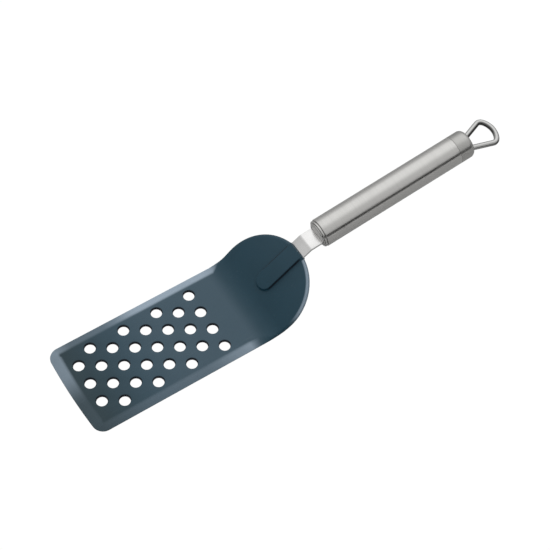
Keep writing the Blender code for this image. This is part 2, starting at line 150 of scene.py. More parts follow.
def head_outline():
    """The flat outline of blade and disc, with the bevel's width at each point."""
    front = FRONT_BOW - FRONT
    half = BLADE_WIDTH / 2
    side_end = BEND_START - BEVEL_RUN_OUT / 2
    centre = (front + CORNER_RADIUS, half - CORNER_RADIUS)
    points = []
    for i in range(SIDE_STEPS):
        share = i / SIDE_STEPS
        points.append((front - FRONT_BOW * (1 - share ** 2), centre[1] * share, FRONT_BEVEL))
    for i, (u, v) in enumerate(arc(centre, CORNER_RADIUS, 180, 90, SIDE_STEPS)):
        points.append((u, v, between(FRONT_BEVEL, SIDE_BEVEL, eased(i, 0, SIDE_STEPS))))
    for i in range(1, SIDE_STEPS):
        points.append((between(centre[0], side_end, i / SIDE_STEPS), half, SIDE_BEVEL))
    for i in range(RUN_OUT_STEPS + 1):
        share = i / RUN_OUT_STEPS
        points.append((side_end + BEVEL_RUN_OUT * share, half, between(SIDE_BEVEL, DISC_CHAMFER, share)))
    flare_start = side_end + BEVEL_RUN_OUT
    for i in range(1, FLARE_STEPS):
        u = between(flare_start, DISC_CENTRE, i / FLARE_STEPS)
        points.append((u, between(half, DISC_RADIUS, eased(i, 0, FLARE_STEPS)), DISC_CHAMFER))
    rear_flat = math.degrees(math.asin(SOCKET_WIDTH / 2 / DISC_RADIUS))
    for u, v in arc((DISC_CENTRE, 0), DISC_RADIUS, 90, rear_flat, DISC_STEPS):
        points.append((u, v, DISC_CHAMFER))
    return points + [(u, -v, bevel) for u, v, bevel in reversed(points[1:])]


def edge_wear_and_highlight(u, v):
    """How pale the edge at a flat point is, partly rubbed and partly painted highlight: most at the
    heel, more on the left side, and on the right of the disc's rim.
    """
    right = 0.18 + 0.11 * part_way(u, -0.052, -0.017) + 0.33 * eased(u, 0.020, 0.060)
    right = right * (1 - eased(u, 0.056, 0.064)) + 0.68 * eased(u, 0.080, 0.096)
    left = 0.32 + 0.46 * eased(u, -0.016, 0.012) + 0.26 * eased(u, -0.040, -0.052)
    left = between(left, 0.06, eased(u, 0.061, 0.074))
    return between(right, left, eased(v, -0.012, 0.014))


def rim_profile(bevel, lip):
    """(inset, height, paleness from rubbing and painted highlight) from the underside round the lip and
    up the bevel to the top face.
    """
    slope = (BLADE_THICKNESS - lip) / bevel
    crest = min(CREST, bevel / 2.2)
    edge = BROKEN_EDGE
    return [
        (edge, 0, 0.2), (0.3 * edge, 0.3 * edge, 0.8), (0, edge, 0.8),
        (0, lip - 0.8 * edge, 0.8), (0.2 * edge, lip - 0.2 * edge, 1), (edge, lip + slope * edge, 1),
        (bevel - crest, BLADE_THICKNESS - slope * crest, 1),
        (bevel - 0.1 * crest, BLADE_THICKNESS - 0.22 * slope * crest, 0.75),
        (bevel + crest, BLADE_THICKNESS, 0),
    ]


def hole_profile():
    """(inset, height, painted shade) up a hole's wall, which a soft lip joins to the top face."""
    lip = HOLE_LIP
    top = BLADE_THICKNESS
    return [
        (0.5 * lip, 0, 0), (0.15 * lip, 0.15 * lip, -1), (0, 0.5 * lip, -1),
        (0, top - lip, -1), (0.08 * lip, top - 0.6 * lip, -1), (0.3 * lip, top - 0.3 * lip, -1),
        (0.62 * lip, top - 0.08 * lip, -0.7), (lip, top, 0),
    ]


def bridge(bm, first, second):
    """A band of quads between two rings of equal length."""
    for i in range(len(first)):
        j = (i + 1) % len(first)
        bm.faces.new((first[i], first[j], second[j], second[i]))


def fill_between(bm, loops):
    """Cover the flat area inside the first loop and outside all the others."""
    verts, owners, edges = [], [], []
    for owner, loop in enumerate(loops):
        base = len(verts)
        edges += [(base + i, base + (i + 1) % len(loop)) for i in range(len(loop))]
        verts += loop
        owners += [owner] * len(loop)
    flat = [vert.co.to_2d() for vert in verts]
    result = delaunay_2d_cdt(flat, edges, [], 1, 1e-9)
    source = [origin[0] for origin in result[3]]
    for face in result[2]:
        corners = [source[i] for i in face]
        around = {owners[i] for i in corners}
        if len(around) > 1 or around == {0}:
            bm.faces.new([verts[i] for i in corners])


def finished(bm, name):
    """The mesh of a worked skin, with its faces turned outwards."""
    bmesh.ops.recalc_face_normals(bm, faces=bm.faces)
    mesh = bpy.data.meshes.new(name)
    bm.to_mesh(mesh)
    bm.free()
    return mesh


def head_mesh():
    """The moulding made flat, with its rim and its holes, and then bent at the heel."""
    bm = bmesh.new()
    wear_and_painted_light = bm.verts.layers.float.new("wear_and_painted_light")

    def hole_ring(x, y, radius, height, amount):
        verts = []
        for u, v in arc((x, y), radius, 0, 360, HOLE_SIDES)[:-1]:
            # Painted shade: each wall darkens on its side towards HOLE_SHADED_SIDE.
            towards = ((u - x) * HOLE_SHADED_SIDE[0] + (v - y) * HOLE_SHADED_SIDE[1]) / radius
            verts.append(bm.verts.new((u, v, height)))
            verts[-1][wear_and_painted_light] = amount * eased(towards, -0.4, 0.4)
        return verts

    outline = head_outline()
    count = len(outline)
    disc_lip = DISC_EDGE * BLADE_THICKNESS / DISC_THICKNESS
    columns = []
    for i, (u, v, bevel) in enumerate(outline):
        before, after = outline[i - 1], outline[(i + 1) % count]
        along = Vector((after[0] - before[0], after[1] - before[1])).normalized()
        lip = between(LIP_THICKNESS, disc_lip, part_way(bevel, SIDE_BEVEL, DISC_CHAMFER))
        column = []
        for inset, height, amount in rim_profile(bevel, lip):
            place = (u + along.y * inset, v - along.x * inset, height)
            column.append((place, amount * edge_wear_and_highlight(u, v)))
        columns.append(column)
    rims = []
    for level in range(len(columns[0])):
        rims.append([bm.verts.new(column[level][0]) for column in columns])
        for vert, column in zip(rims[-1], columns):
            vert[wear_and_painted_light] = column[level][1]
    for lower, upper in zip(rims, rims[1:]):
        bridge(bm, lower, upper)

    undersides, faces = [rims[0]], [rims[-1]]
    for row in range(ROW_COUNT):
        per_row = HOLES_IN_ROW[row % 2]
        x = (row - (ROW_COUNT - 1) / 2) * ROW_PITCH
        for i in range(per_row):
            y = (i - (per_row - 1) / 2) * HOLE_PITCH
            rings = []
            for inset, height, amount in hole_profile():
                rings.append(hole_ring(x, y, HOLE_RADIUS + inset, height, amount))
            for lower, upper in zip(rings, rings[1:]):
                bridge(bm, lower, upper)
            undersides.append(rings[0])
            faces.append(rings[-1])
    fill_between(bm, undersides)
    fill_between(bm, faces)

    for i in range(BEND_STEPS + 1):
        cut = (between(BEND_START, BEND_END, i / BEND_STEPS), 0, 0)
        geometry = bm.verts[:] + bm.edges[:] + bm.faces[:]
        bmesh.ops.bisect_plane(bm, geom=geometry, dist=1e-7, plane_co=cut, plane_no=(1, 0, 0))
    for vert in bm.verts:
        vert.co = head_point(vert.co)
    return finished(bm, "nylon_head")


class Wire:
    """One socket of a material; sums, differences and products of wires add the nodes for them."""

    def __init__(self, socket):
        self.socket = socket

    def node(self, kind, settings, values, output=0):
        """A new node of any kind: its settings are made first, then its sockets are fed."""
        tree = self.socket.id_data
        made = tree.nodes.new(kind)
        for name, setting in settings.items():
            setattr(made, name, setting)
        for name, value in values.items():
            if isinstance(value, Wire):
                tree.links.new(value.socket, made.inputs[name])
            else:
                made.inputs[name].default_value = value
        return Wire(made.outputs[output])

    def maths(self, operation, first, second):
        return self.node("ShaderNodeMath", {"operation": operation}, {0: first, 1: second})

    def feed(self, name):
        """Link this wire to a named socket of the material's own shader."""
        tree = self.socket.id_data
        tree.links.new(self.socket, tree.nodes["Principled BSDF"].inputs[name])

    def __add__(self, other):
        return self.maths("ADD", self, other)

    def __radd__(self, other):
        return self.maths("ADD", other, self)

    def __sub__(self, other):
        return self.maths("SUBTRACT", self, other)

    def __rsub__(self, other):
        return self.maths("SUBTRACT", other, self)

    def __mul__(self, other):
        return self.maths("MULTIPLY", self, other)

    def __rmul__(self, other):
        return self.maths("MULTIPLY", other, self)


def new_material(name, sockets):
    """A material whose even values sit on the shader's own sockets, and a wire to build from."""
    material = bpy.data.materials.new(name)
    material.use_nodes = True
    shader = material.node_tree.nodes["Principled BSDF"]
    for socket, value in sockets.items():
        shader.inputs[socket].default_value = value
    return material, Wire(shader.outputs["BSDF"])


def object_place(start):
    """A wire of places in the piece's own frame."""
    return start.node("ShaderNodeTexCoord", {}, {}, "Object")


def noise(start, place, scale, detail=2.0, roughness=0.5):
    """Cloudy values about 0.5, finer as the scale grows."""
    values = {"Vector": place, "Scale": scale, "Detail": detail, "Roughness": roughness}
    return start.node("ShaderNodeTexNoise", {}, values, "Fac")


def stretched(start, place, factors):
    """Texture places multiplied along each axis, for marks that run one way."""
    return start.node("ShaderNodeVectorMath", {"operation": "MULTIPLY"}, {0: place, 1: factors})


def faded(start, value, low, high):
    """0 below low, 1 above high, eased between."""
    values = {"Value": value, "From Min": low, "From Max": high}
    return start.node("ShaderNodeMapRange", {"interpolation_type": "SMOOTHSTEP"}, values)


def mixed(start, amount, first, second):
    """One colour turning into another; sockets 6 and 7 take the colours, and output 2 gives one."""
    values = {"Factor": amount, 6: first, 7: second}
    return start.node("ShaderNodeMix", {"data_type": "RGBA"}, values, 2)


def wear_and_painted_light_amount(start):
    """The amount that the mesh holds at each point: rubbed paleness and painted highlight on the nylon's
    edges, painted shade in its holes, down the socket's flanks and on the wire loop.
    """
    return start.node("ShaderNodeAttribute", {"attribute_name": "wear_and_painted_light"}, {}, "Fac")


def textured(start, height, strength, distance):
    """Raise the surface by a wire of heights, over a distance in metres."""
    values = {"Strength": strength, "Distance": distance, "Height": height}
    start.node("ShaderNodeBump", {}, values).feed("Normal")


def nylon_material():
    """Fine moulded grain, cloudy pigment, bevels paler from rubbing and painted highlight, painted sheen
    on the flat, painted shade towards the tip, in the holes and down the socket's flank, faint
    lengthwise scuffs.
    """
    material, start = new_material("slate_nylon", {"Specular IOR Level": 0.36, "IOR": 1.5})
    place = object_place(start)
    wear_and_painted_light = wear_and_painted_light_amount(start)
    cloud = noise(start, place, 90, 3.0)
    grain = noise(start, place, 1500, 2.0, 0.6)
    along = start.node("ShaderNodeSeparateXYZ", {}, {"Vector": place}, "X")
    # Painted sheen: the flat grows lighter from the tip towards the heel, fades out at the bend, and a
    # weaker sheen lies over the disc's rear half.
    painted_sheen = faded(start, along, -0.045, 0.020) * (1 - faded(start, along, 0.0585, 0.0690))
    painted_sheen = painted_sheen + 0.28 * faded(start, along, 0.080, 0.115)
    scuff_place = stretched(start, place, (60, 900, 900))
    scuffs = faded(start, noise(start, scuff_place, 1, 3.0, 0.6), 0.60, 0.78)
    patchy = 0.82 + 0.36 * cloud
    # Painted shade: the nylon darkens towards the blade's tip.
    slate = mixed(start, faded(start, along, -0.060, -0.005), NYLON_TIP_SHADE, NYLON)
    worn_and_lit = mixed(start, (faded(start, wear_and_painted_light, 0, 1) + 0.115 * painted_sheen) * patchy, slate, NYLON_WEAR_AND_HIGHLIGHT)
    base = mixed(start, 1 - faded(start, wear_and_painted_light, -1, 0), worn_and_lit, NYLON_SHADED)
    lighter = mixed(start, 0.05 * scuffs + 0.035 * grain, base, NYLON_SCUFFED)
    darker = mixed(start, 0.12, lighter, BLACK)
    mixed(start, 0.5 * faded(start, cloud, 0.35, 0.75), lighter, darker).feed("Base Color")
    (0.43 + 0.10 * cloud - 0.06 * wear_and_painted_light + 0.05 * grain - 0.05 * scuffs).feed("Roughness")
    textured(start, grain + 0.5 * noise(start, place, 420, 2.0) - 0.3 * scuffs, 0.22, 0.00008)
    return material


def add_piece(name, mesh, material, place, sharp=35):
    """An object of one material, smooth but for edges past the sharp angle in degrees."""
    piece = bpy.data.objects.new(name, mesh)
    bpy.context.collection.objects.link(piece)
    piece.matrix_world = place
    mesh.materials.append(material)
    mesh.shade_smooth()
    mesh.set_sharp_from_angle(angle=math.radians(sharp))
    return piece


nylon = nylon_material()
head = add_piece("nylon_head", head_mesh(), nylon, Matrix.Identity(4))
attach(head, "root")


# ---------------------------------------------------------------- socket
# A raised housing along the middle of the disc, part of the same moulding. The steel tongue was
# put in the mould and the nylon shot round it, so the housing ends flush at the disc's rear edge.
SOCKET_LENGTH = 0.0344
SOCKET_RISE = 0.0023
SOCKET_DRAFT = 0.0004
SOCKET_EDGE = 0.0006
SOCKET_NOSE_FLAT = 0.0006
SOCKET_FILLET = 0.0007
SOCKET_FOOT = 0.0001
SOCKET_STEP = 0.0005
REAR_CORNER = 0.0002
FLANK_STEP = 0.0016
FLANK_POINTS = 14
SOCKET_REAR = DISC_OFFSET + math.sqrt(DISC_RADIUS ** 2 - (SOCKET_WIDTH / 2) ** 2) + SOCKET_STEP
GAP = 0.0003


def tilted(x, z, angle):
    """A local frame whose X axis climbs at the given angle."""
    return Matrix.Translation((x, 0, z)) @ Matrix.Rotation(-angle, 4, "Y")


def socket_outline(inset):
    """The housing seen from above: straight flanks, a round nose and a square rear end."""
    front = SOCKET_REAR - SOCKET_LENGTH + inset
    half = SOCKET_WIDTH / 2 - inset
    corner = half - SOCKET_NOSE_FLAT / 2
    points = [(SOCKET_REAR, half - REAR_CORNER)]
    points += [(SOCKET_REAR - REAR_CORNER - FLANK_STEP * i, half) for i in range(FLANK_POINTS)]
    points += arc((front + corner, half - corner), corner, 90, 180, 12)
    points += [(u, -v) for u, v in reversed(points)]
    return points


def stack(name, loops, painted_shade_at=None):
    """A closed skin through loops of equal length, with an amount of painted shade at each point."""
    bm = bmesh.new()
    wear_and_painted_light = bm.verts.layers.float.new("wear_and_painted_light")
    rings = []
    for level, loop in enumerate(loops):
        rings.append([bm.verts.new(point) for point in loop])
        for vert in rings[-1]:
            vert[wear_and_painted_light] = painted_shade_at(level, vert.co) if painted_shade_at else 0
    for lower, upper in zip(rings, rings[1:]):
        bridge(bm, lower, upper)
    bm.faces.new(reversed(rings[0]))
    bm.faces.new(rings[-1])
    return finished(bm, name)


def socket_mesh():
    """The housing's skin, level by level from inside the disc, up its flank and over its crown."""
    face = DISC_THICKNESS / 2
    crown = face + SOCKET_RISE
    levels = [(0, GAP - face), (0, face - SOCKET_FOOT)]
    levels += [(-SOCKET_FILLET, face), (-0.3 * SOCKET_FILLET, face + 0.3 * SOCKET_FILLET)]
    flank = len(levels)
    levels += [(SOCKET_FOOT, face + SOCKET_FILLET)]
    levels += arc((SOCKET_DRAFT + SOCKET_EDGE, crown - SOCKET_EDGE), SOCKET_EDGE, 180, 90, 5)
    loops = [[(x, y, height) for x, y in socket_outline(inset)] for inset, height in levels]
    front = SOCKET_REAR - SOCKET_LENGTH

    def shade(level, point):
        """Dark down the right flank, in the corner on the left, and hardly at all in front."""
        if level == len(levels) - 1:
            return 0
        before_rear = eased(point.x, SOCKET_REAR - 0.0008, SOCKET_REAR - 0.0038)
        behind_nose = eased(point.x, front + 0.0028, front + 0.0068)
        right = eased(-point.y, 0.0048, 0.0058) * before_rear * behind_nose
        left = eased(point.y, SOCKET_WIDTH / 4, SOCKET_WIDTH * 5 / 12) * before_rear
        back = eased(point.x, front + 0.004, front + 0.016)
        return -max(right * (flank <= level < flank + 3), 0.7 * left * back)

    return stack("tongue_socket", loops, shade)


disc_place = tilted(HEEL_REACH, BLADE_MIDDLE, HEEL_ANGLE)
socket_skin = socket_mesh()
socket_skin.transform(disc_place)
socket = add_piece("tongue_socket", socket_skin, nylon, Matrix.Identity(4), 50)
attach(socket, "root")
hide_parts("blade_head")


# ---------------------------------------------------------------- neck
# A strip of 2 mm stainless steel, punched out, tumbled so its edges are soft and bent once on a
# press brake. One end is moulded into the socket, the other runs into the handle's cap.
STRIP_THICKNESS = 0.0020
STRIP_LIFT = 0.0010
STRIP_EDGE = 0.0003
NECK_WIDTH = 0.0129
NECK_LENGTH = 0.0069
NECK_RADIUS = 0.0030
NECK_REACH = 0.0085
TONGUE_WIDTH = 0.0096
STRIP_BURIED = 0.0040
STRIP_HIDDEN = 0.0080
STATION_STEP = 0.0008
NECK_STEPS = 16
TANG_STEPS = 10
# Painted shade for steel, used on the wire loop's inner side and one outer corner.
PAINTED_STEEL_SHADE = (0.03, 0.03, 0.03, 1)
HANDLE_ANGLE = math.radians(7.7)
NECK_TURN = HEEL_ANGLE - HANDLE_ANGLE
NECK_TANGENT = NECK_RADIUS * math.tan(NECK_TURN / 2)
NECK_START = SOCKET_REAR + GAP + NECK_LENGTH - NECK_TANGENT
NECK_END = NECK_START + NECK_RADIUS * NECK_TURN
STRIP_END = NECK_END - NECK_TANGENT + NECK_REACH + STRIP_HIDDEN


def strip_mesh():
    """Loops round the flat strip from its underside to its top, then bent at the neck."""
    half = STRIP_THICKNESS / 2
    edge = STRIP_EDGE
    levels = [(-half, edge), (-half + 0.3 * edge, 0.3 * edge), (-half + edge, 0)]
    levels += [(half - edge, 0), (half - 0.3 * edge, 0.3 * edge), (half, edge)]
    first = SOCKET_REAR - STRIP_BURIED
    straight = math.ceil((NECK_START - STATION_STEP / 2 - first) / STATION_STEP)
    stations = [first + STATION_STEP * i for i in range(straight)]
    stations += [between(NECK_START, NECK_END, i / NECK_STEPS) for i in range(NECK_STEPS + 1)]
    stations += [between(NECK_END, STRIP_END, i / TANG_STEPS) for i in range(1, TANG_STEPS + 1)]
    loops = []
    for height, inset in levels:
        side = []
        for u in stations:
            width = TONGUE_WIDTH if u < SOCKET_REAR - STATION_STEP / 2 else NECK_WIDTH
            side.append((u, width / 2 - inset))
        loop = side + [(u, -v) for u, v in reversed(side)]
        loops.append([bend(u, v, height, NECK_START, NECK_END, -NECK_RADIUS) for u, v in loop])
    return strip_skin(loops, len(stations))


def strip_skin(loops, count):
    """Side walls between the loops, and quads right across the two faces."""
    bm = bmesh.new()
    rings = [[bm.verts.new(point) for point in loop] for loop in loops]
    for lower, upper in zip(rings, rings[1:]):
        bridge(bm, lower, upper)
    for ring in (rings[0], rings[-1]):
        for i in range(count - 1):
            far = 2 * count - 1 - i
            bm.faces.new((ring[i], ring[i + 1], ring[far - 1], ring[far]))
    return finished(bm, "neck_bar")


def tumbled_material(name, colour, roughness):
    """Bright steel with the soft mottling and fine criss-cross marks that tumbling leaves."""
    material, start = new_material(name, {"Metallic": 1.0})
    place = object_place(start)
    cloud = noise(start, place, 160, 3.0)
    long_marks = noise(start, stretched(start, place, (120, 2600, 2600)), 1, 2.0)
    cross_marks = noise(start, stretched(start, place, (2600, 160, 2600)), 1, 2.0)
    darker = tuple(0.82 * part for part in colour)
    bright = mixed(start, 0.45 * cloud + 0.35 * long_marks, (*colour, 1), (*darker, 1))
    # Painted shade: where the mesh holds an amount, the steel darkens towards near black.
    mixed(start, 0.82 * wear_and_painted_light_amount(start), bright, PAINTED_STEEL_SHADE).feed("Base Color")
    (roughness + 0.07 * cloud + 0.05 * (long_marks - 0.5)).feed("Roughness")
    textured(start, long_marks + 0.6 * cross_marks, 0.12, 0.00003)
    return material


strip_place = disc_place @ Matrix.Translation((0, 0, STRIP_LIFT))
strip_steel = tumbled_material("strip_steel", (0.765, 0.762, 0.755), 0.22)
neck = add_piece("neck_bar", strip_mesh(), strip_steel, strip_place, 40)
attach(neck, "root")
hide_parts("neck_strip")


# ---------------------------------------------------------------- handle tube
# A drawn stainless tube, satin ground on a belt while it spins, so the marks run round it. The
# mouth is rounded over and the rear end meets its cap in a hairline seam.
HANDLE_RADIUS = 0.0190 / 2
SEAM_EDGE = 0.00015
SEAM_GAP = 0.00006
TUBE_LENGTH = 0.1030 + GAP - SEAM_GAP
TUBE_EDGE = 0.0005
TUBE_STEPS = 24
HANDLE_WALL = 0.0008
BORE_RADIUS = HANDLE_RADIUS - HANDLE_WALL
TANG_DROP = 0.0012
NOSE_HEIGHT = 0.0009
FLANGE_WIDTH = 0.0012
ROUND_SIDES = 128

neck_corner = disc_place @ Vector((SOCKET_REAR + GAP + NECK_LENGTH, 0, STRIP_LIFT))
tang_place = tilted(neck_corner.x, neck_corner.z, HANDLE_ANGLE)
cap_reach = NECK_REACH + NOSE_HEIGHT + FLANGE_WIDTH + GAP
mouth = tang_place @ Vector((cap_reach, 0, TANG_DROP))
handle_frame = tilted(mouth.x, mouth.z, HANDLE_ANGLE)
handle_place = handle_frame @ Matrix.Rotation(math.pi / 2, 4, "Y")


def turned(name, profile, closed, sides=ROUND_SIDES):
    """A skin turned about local Z from (height, radius) points; closed joins last to first."""
    bm = bmesh.new()
    rings = []
    for height, radius in profile:
        if radius == 0:
            rings.append([bm.verts.new((0, 0, height))])
            continue
        circle = arc((0, 0), radius, 0, 360, sides)[:-1]
        rings.append([bm.verts.new((x, y, height)) for x, y in circle])
    pairs = list(zip(rings, rings[1:]))
    if closed:
        pairs.append((rings[-1], rings[0]))
    for first, second in pairs:
        if len(first) == 1 or len(second) == 1:
            tip, ring = (first[0], second) if len(first) == 1 else (second[0], first)
            for i in range(sides):
                bm.faces.new((tip, ring[i], ring[(i + 1) % sides]))
        else:
            bridge(bm, first, second)
    return finished(bm, name)


def satin_material(name, colour, roughness):
    """Belt-ground steel: hair-fine rings, a few deeper ones, and faint handling smudges."""
    sockets = {"Metallic": 1.0, "Anisotropic": 0.7, "Anisotropic Rotation": 0.25}
    material, start = new_material(name, sockets)
    place = object_place(start)
    rings = noise(start, stretched(start, place, (30, 30, 2600)), 1, 3.0, 0.65)
    broad = noise(start, stretched(start, place, (18, 18, 420)), 1, 2.0)
    smudge = faded(start, noise(start, place, 55, 2.0), 0.5, 0.8)
    deep = faded(start, rings, 0.62, 0.75)
    darker = tuple(0.80 * part for part in colour)
    mixed(start, 0.5 * rings + 0.3 * broad + 0.12 * deep, (*colour, 1), (*darker, 1)).feed("Base Color")
    (roughness + 0.10 * (rings - 0.5) + 0.06 * broad + 0.06 * smudge).feed("Roughness")
    textured(start, rings + 0.7 * broad, 0.16, 0.00004)
    return material


def tube_profile():
    """Down the bore to the mouth, over its rounded lip and back along the outside to the seam."""
    profile = [(TUBE_LENGTH, BORE_RADIUS), (0, BORE_RADIUS)]
    profile += arc((TUBE_EDGE, HANDLE_RADIUS - TUBE_EDGE), TUBE_EDGE, 180, 90, 6)
    run = TUBE_LENGTH - TUBE_EDGE - SEAM_EDGE
    profile += [(TUBE_EDGE + run * i / TUBE_STEPS, HANDLE_RADIUS) for i in range(1, TUBE_STEPS + 1)]
    seam = arc((TUBE_LENGTH - SEAM_EDGE, HANDLE_RADIUS - SEAM_EDGE), SEAM_EDGE, 90, 0, 3)
    return profile + seam[1:]


satin_steel = satin_material("satin_steel", (0.595, 0.590, 0.574), 0.26)
tube = add_piece("satin_tube", turned("satin_tube", tube_profile(), True), satin_steel, handle_place)
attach(tube, "root")
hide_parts("handle_tube")


# ---------------------------------------------------------------- front cap
# A turned steel plug with a flange and a domed nose, pressed into the tube's mouth. The strip
# passes through a slot milled across it and is welded behind.
FLANGE_RADIUS = HANDLE_RADIUS - 0.0004
NOSE_RADIUS = HANDLE_RADIUS - 0.0017
NOSE_ROUND = 0.0007
CREASE = 0.0003
PLUG_DEPTH = 0.0060
FLANGE_ROUND = 0.0004
SLOT_DEPTH = 0.0040
SLOT_CLEAR = 0.0200


def carved(mesh, cutter_mesh):
    """The mesh with the cutter taken out of it; both are given in the same local frame."""
    whole = bpy.data.objects.new("whole", mesh)
    cutter = bpy.data.objects.new("cutter", cutter_mesh)
    for item in (whole, cutter):
        bpy.context.collection.objects.link(item)
    cut = whole.modifiers.new("cut", "BOOLEAN")
    cut.operation = "DIFFERENCE"
    cut.solver = "EXACT"
    cut.object = cutter
    graph = bpy.context.evaluated_depsgraph_get()
    result = bpy.data.meshes.new_from_object(whole.evaluated_get(graph))
    result.name = mesh.name
    for item in (whole, cutter):
        bpy.data.objects.remove(item)
    bpy.data.meshes.remove(cutter_mesh)
    return result


def cap_mesh():
    """From the nose's middle out over its round edge, the crease and the flange, then the plug."""
    flange_face = -GAP - FLANGE_WIDTH
    nose_face = flange_face - NOSE_HEIGHT
    profile = [(nose_face, 0), (nose_face, NOSE_RADIUS * 0.4)]
    profile += arc((nose_face + NOSE_ROUND, NOSE_RADIUS - NOSE_ROUND), NOSE_ROUND, 180, 90, 10)
    groove = NOSE_RADIUS - CREASE
    profile += [(flange_face - CREASE, NOSE_RADIUS), (flange_face - CREASE / 2, groove)]
    profile += [(flange_face, groove)]
    corner = FLANGE_RADIUS - FLANGE_ROUND
    profile += arc((flange_face + FLANGE_ROUND, corner), FLANGE_ROUND, 180, 90, 5)
    small = FLANGE_ROUND / 2
    profile += arc((-GAP - small, FLANGE_RADIUS - small), small, 90, 0, 3)
    profile += [(-GAP, BORE_RADIUS - GAP), (PLUG_DEPTH, BORE_RADIUS - GAP), (PLUG_DEPTH, 0)]
    return turned("turned_cap", profile, False)


def slot_mesh():
    """The slot in the cap's frame, where local X points down and local Z into the handle."""
    half = NECK_WIDTH / 2 + GAP
    depth = STRIP_THICKNESS / 2 + GAP
    corners = [(TANG_DROP - depth, -half), (TANG_DROP + depth, -half)]
    corners += [(TANG_DROP + depth, half), (TANG_DROP - depth, half)]
    loops = [[(x, y, z) for x, y in corners] for z in (-SLOT_CLEAR, SLOT_DEPTH)]
    return stack("slot", loops)


cap = add_piece("turned_cap", carved(cap_mesh(), slot_mesh()), satin_steel, handle_place)
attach(cap, "root")
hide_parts("front_cap")


# ---------------------------------------------------------------- rear cap
# A short domed cup drawn from the same tube stock, pushed over a sleeve and ground flush, so only
# a fine line shows where it meets the tube. Two holes take the legs of the loop.
CAP_START = TUBE_LENGTH + SEAM_GAP
CAP_LENGTH = 0.0118
CAP_END = CAP_START + CAP_LENGTH
CAP_SHOULDER = 0.0034
CAP_CROWN = 0.0009
WIRE_RADIUS = 0.0037 / 2
LEG_SPACING = 0.0086
LOOP_REACH = 0.0209
LOOP_WIDTH = 0.0215
LOOP_BOW = 0.0040
LOOP_CORNER = 0.0030
LOOP_DROP = 0.0022
LOOP_TILT = math.radians(2.0)
DRILL_DEPTH = 0.0100
DRILL_BACK = 0.0020


def dome(end, radius, shoulder, steps):
    """A round shoulder that runs into a slightly crowned end."""
    face = radius - shoulder
    base = end - CAP_CROWN
    points = arc((base - shoulder, face), shoulder, 90, 0, steps)
    for i in range(1, steps):
        share = 1 - i / steps
        points.append((base + CAP_CROWN * (1 - share ** 2), face * share))
    return points + [(end, 0)]


def rear_cap_mesh():
    """The cup's wall: out of its inside at the seam, and back over its outside to the crown."""
    outside = arc((CAP_START + SEAM_EDGE, HANDLE_RADIUS - SEAM_EDGE), SEAM_EDGE, 180, 90, 3)
    outside += [(CAP_START + 0.001 * i, HANDLE_RADIUS) for i in range(2, 6)]
    outside += dome(CAP_END, HANDLE_RADIUS, CAP_SHOULDER, 14)
    inside = dome(CAP_END - HANDLE_WALL, BORE_RADIUS, CAP_SHOULDER - HANDLE_WALL / 2, 6)
    return turned("domed_cup", list(reversed(inside)) + [(CAP_START, BORE_RADIUS)] + outside, False)


knee_x = LOOP_REACH - WIRE_RADIUS - LOOP_BOW
knee_y = LOOP_WIDTH / 2 - WIRE_RADIUS + LOOP_CORNER / 4
leg_slope = (knee_y - LEG_SPACING / 2) / knee_x
loop_frame = handle_frame @ tilted(CAP_END, -LOOP_DROP, -LOOP_TILT)


def leg_holes():
    """Two drills along the loop's legs, in the frame of the turned pieces."""
    bm = bmesh.new()
    to_cap = handle_place.inverted() @ loop_frame
    for side in (1, -1):
        along = Vector((1, side * leg_slope, 0)).normalized()
        middle = Vector((-DRILL_BACK, side * (LEG_SPACING / 2 - DRILL_BACK * leg_slope), 0))
        turn = Vector((0, 0, 1)).rotation_difference(along).to_matrix().to_4x4()
        radius = WIRE_RADIUS + GAP
        bmesh.ops.create_cone(
            bm, cap_ends=True, segments=32, radius1=radius, radius2=radius, depth=DRILL_DEPTH,
            matrix=to_cap @ Matrix.Translation(middle) @ turn)
    return finished(bm, "drills")


cup_steel = satin_material("cup_steel", (0.49, 0.488, 0.472), 0.30)
cup = add_piece("domed_cup", carved(rear_cap_mesh(), leg_holes()), cup_steel, handle_place)
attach(cup, "root")
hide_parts("rear_cap")


# ---------------------------------------------------------------- hanging loop
# A 3.7 mm stainless wire bent to a rounded triangle and polished; both legs pass through the rear
# cap and are welded to a plate inside it.
LEG_RUN = 0.0050
WIRE_SIDES = 28
BOW_STEPS = 24
BOW_START = 8


def rounded(points, radius, steps):
    """Replace every inner corner of a run of points with an arc of the given radius."""
    path = [points[0]]
    for before, corner, after in zip(points, points[1:], points[2:]):
        enter = (before - corner).normalized()
        leave = (after - corner).normalized()
        opening = enter.angle(leave)
        reach = radius / math.tan(opening / 2)
        centre = corner + (enter + leave).normalized() * radius / math.sin(opening / 2)
        start = corner + enter * reach - centre
        turn = start.angle_signed(corner + leave * reach - centre)
        for i in range(steps + 1):
            path.append(centre + Matrix.Rotation(-turn * i / steps, 2) @ start)
    return path + [points[-1]]


def loop_centre_line():
    """One leg, the rounded knee and half the bowed far side, then the same mirrored."""
    bow_radius = (knee_y ** 2 + LOOP_BOW ** 2) / (2 * LOOP_BOW)
    far = knee_x + LOOP_BOW
    spread = math.degrees(math.asin(knee_y / bow_radius))
    bow = arc((far - bow_radius, 0), bow_radius, spread, 0, BOW_STEPS)
    leg_end = Vector((-LEG_RUN, LEG_SPACING / 2 - LEG_RUN * leg_slope))
    knee = Vector((knee_x, knee_y))
    half = rounded([leg_end, knee, Vector(bow[BOW_START])], LOOP_CORNER, 12)[:-1]
    half += [Vector(point) for point in bow if point[1] < half[-1].y - 0.0002]
    return half + [Vector((point.x, -point.y)) for point in reversed(half[:-1])]


